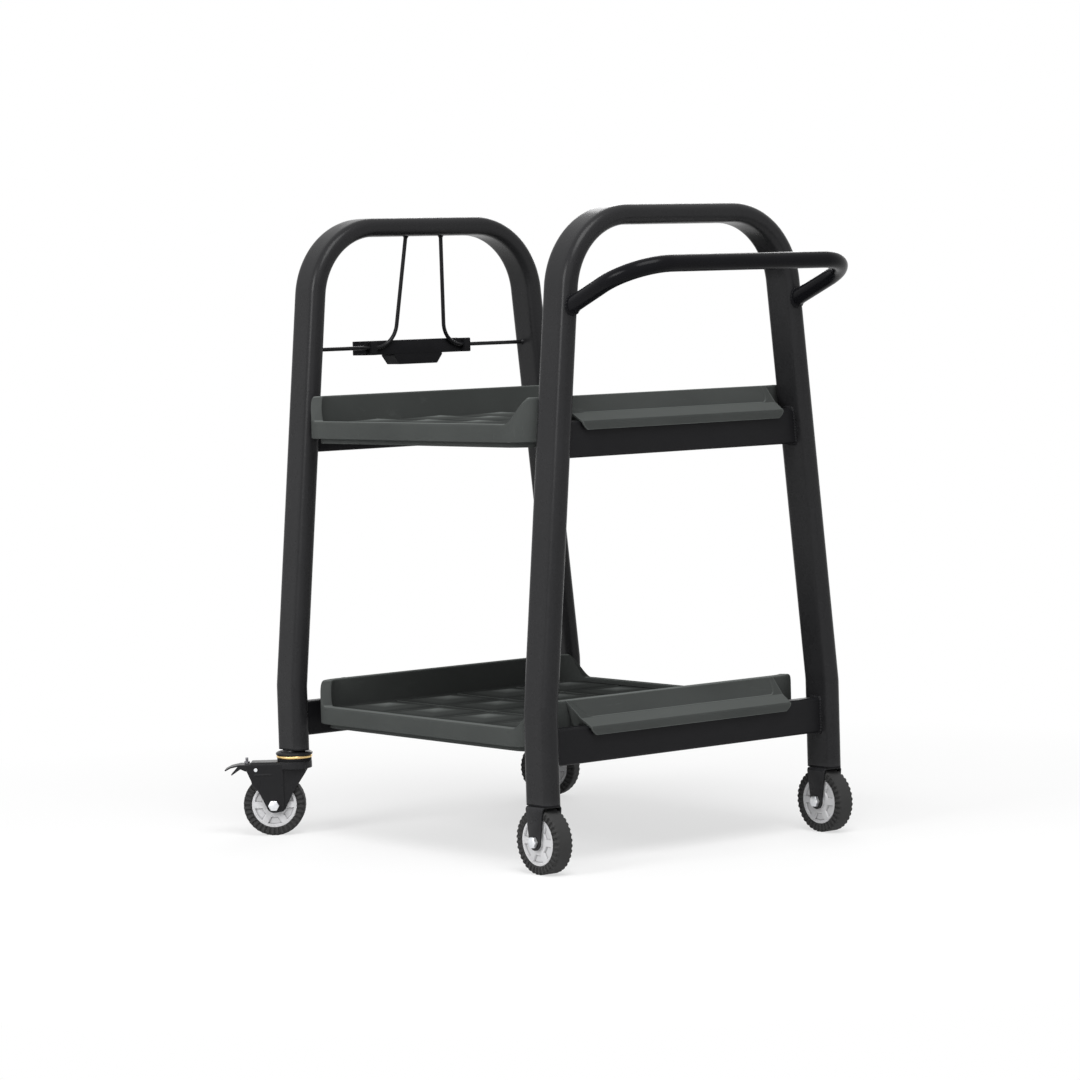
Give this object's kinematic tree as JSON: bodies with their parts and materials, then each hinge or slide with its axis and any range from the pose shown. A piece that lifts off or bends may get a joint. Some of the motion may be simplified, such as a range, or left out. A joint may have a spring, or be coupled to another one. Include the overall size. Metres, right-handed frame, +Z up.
{
  "type": "storage cart",
  "caption": "Rolling storage cart: steel arch frame with moulded trays, a push handle, a clipboard holder, fixed and swivel castors.",
  "frame": {"origin": "on the floor, under the middle of the cart's bounding box", "axes": "+Y towards the holder end, -Y towards the push handle, +X to the right as seen from the handle, +Z up"},
  "size_m": [0.701, 0.9368, 0.9974],
  "materials": {
    "powder_coat": "satin charcoal powder coat",
    "tray_plastic": "fine textured dark grey moulding",
    "black_wire": "satin black coated wire",
    "black_plastic": "black moulding",
    "tyre_rubber": "matt black rubber",
    "grey_plastic": "light grey moulding",
    "yellow_zinc": "yellow passivated steel",
    "black_steel": "black plated pressed steel",
    "zinc": "bright zinc plate"
  },
  "bodies": {
    "frame": {"front_arch": "powder_coat", "front_left_leg_plug": "black_plastic", "front_left_stem": "black_steel", "front_left_swivel_race": "yellow_zinc", "front_lower_crossbar": "powder_coat", "front_right_leg_plug": "black_plastic", "front_right_stem": "black_steel", "front_right_swivel_race": "yellow_zinc", "front_upper_crossbar": "powder_coat", "holder_ledge": "black_plastic", "holder_wire_left": "black_wire", "holder_wire_right": "black_wire", "lower_tray": "tray_plastic", "push_handle": "powder_coat", "rear_arch": "powder_coat", "rear_left_axle_bolt": "zinc", "rear_left_axle_bush": "zinc", "rear_left_axle_nut": "zinc", "rear_left_fork": "black_steel", "rear_left_leg_plug": "black_plastic", "rear_lower_crossbar": "powder_coat", "rear_right_axle_bolt": "zinc", "rear_right_axle_bush": "zinc", "rear_right_axle_nut": "zinc", "rear_right_fork": "black_steel", "rear_right_leg_plug": "black_plastic", "rear_upper_crossbar": "powder_coat", "upper_tray": "tray_plastic"},
    "rear_left_wheel": {"rear_left_tyre": "tyre_rubber", "rear_left_wheel_core": "grey_plastic"},
    "rear_right_wheel": {"rear_right_tyre": "tyre_rubber", "rear_right_wheel_core": "grey_plastic"},
    "front_left_swivel": {"front_left_axle_bolt": "zinc", "front_left_axle_bush": "zinc", "front_left_axle_nut": "zinc", "front_left_fork": "black_steel", "front_left_pedal_pin": "zinc", "front_left_seal_ring": "black_plastic"},
    "front_left_wheel": {"front_left_tyre": "tyre_rubber", "front_left_wheel_core": "grey_plastic"},
    "front_left_pedal": {"front_left_adjusting_screw": "zinc", "front_left_brake_pedal": "black_steel"},
    "front_right_swivel": {"front_right_axle_bolt": "zinc", "front_right_axle_bush": "zinc", "front_right_axle_nut": "zinc", "front_right_fork": "black_steel", "front_right_pedal_pin": "zinc", "front_right_seal_ring": "black_plastic"},
    "front_right_wheel": {"front_right_tyre": "tyre_rubber", "front_right_wheel_core": "grey_plastic"},
    "front_right_pedal": {"front_right_adjusting_screw": "zinc", "front_right_brake_pedal": "black_steel"}
  },
  "joints": [
    {"name": "rear_left_wheel_spin", "type": "hinge", "parent": "frame", "child": "rear_left_wheel", "pos_m": [-0.25316, -0.28456, 0.05], "axis": [1, 0, 0], "continuous": true},
    {"name": "rear_right_wheel_spin", "type": "hinge", "parent": "frame", "child": "rear_right_wheel", "pos_m": [0.32024, -0.28456, 0.05], "axis": [1, 0, 0], "continuous": true},
    {"name": "front_left_swivel", "type": "hinge", "parent": "frame", "child": "front_left_swivel", "pos_m": [-0.25316, 0.36074, 0.12], "axis": [0, 0, 1], "continuous": true},
    {"name": "front_left_wheel_spin", "type": "hinge", "parent": "front_left_swivel", "child": "front_left_wheel", "pos_m": [-0.27921, 0.38259, 0.05], "axis": [-0.6428, -0.766, 0], "continuous": true},
    {"name": "front_left_brake_pedal", "type": "hinge", "parent": "front_left_swivel", "child": "front_left_pedal", "pos_m": [-0.30043, 0.4004, 0.1087], "axis": [-0.6428, -0.766, 0], "range_deg": [0, 15]},
    {"name": "front_right_swivel", "type": "hinge", "parent": "frame", "child": "front_right_swivel", "pos_m": [0.32024, 0.36074, 0.12], "axis": [0, 0, 1], "continuous": true},
    {"name": "front_right_wheel_spin", "type": "hinge", "parent": "front_right_swivel", "child": "front_right_wheel", "pos_m": [0.30427, 0.39076, 0.05], "axis": [-0.8829, -0.4695, 0], "continuous": true},
    {"name": "front_right_brake_pedal", "type": "hinge", "parent": "front_right_swivel", "child": "front_right_pedal", "pos_m": [0.29127, 0.41522, 0.1087], "axis": [-0.8829, -0.4695, 0], "range_deg": [0, 15]}
  ]
}
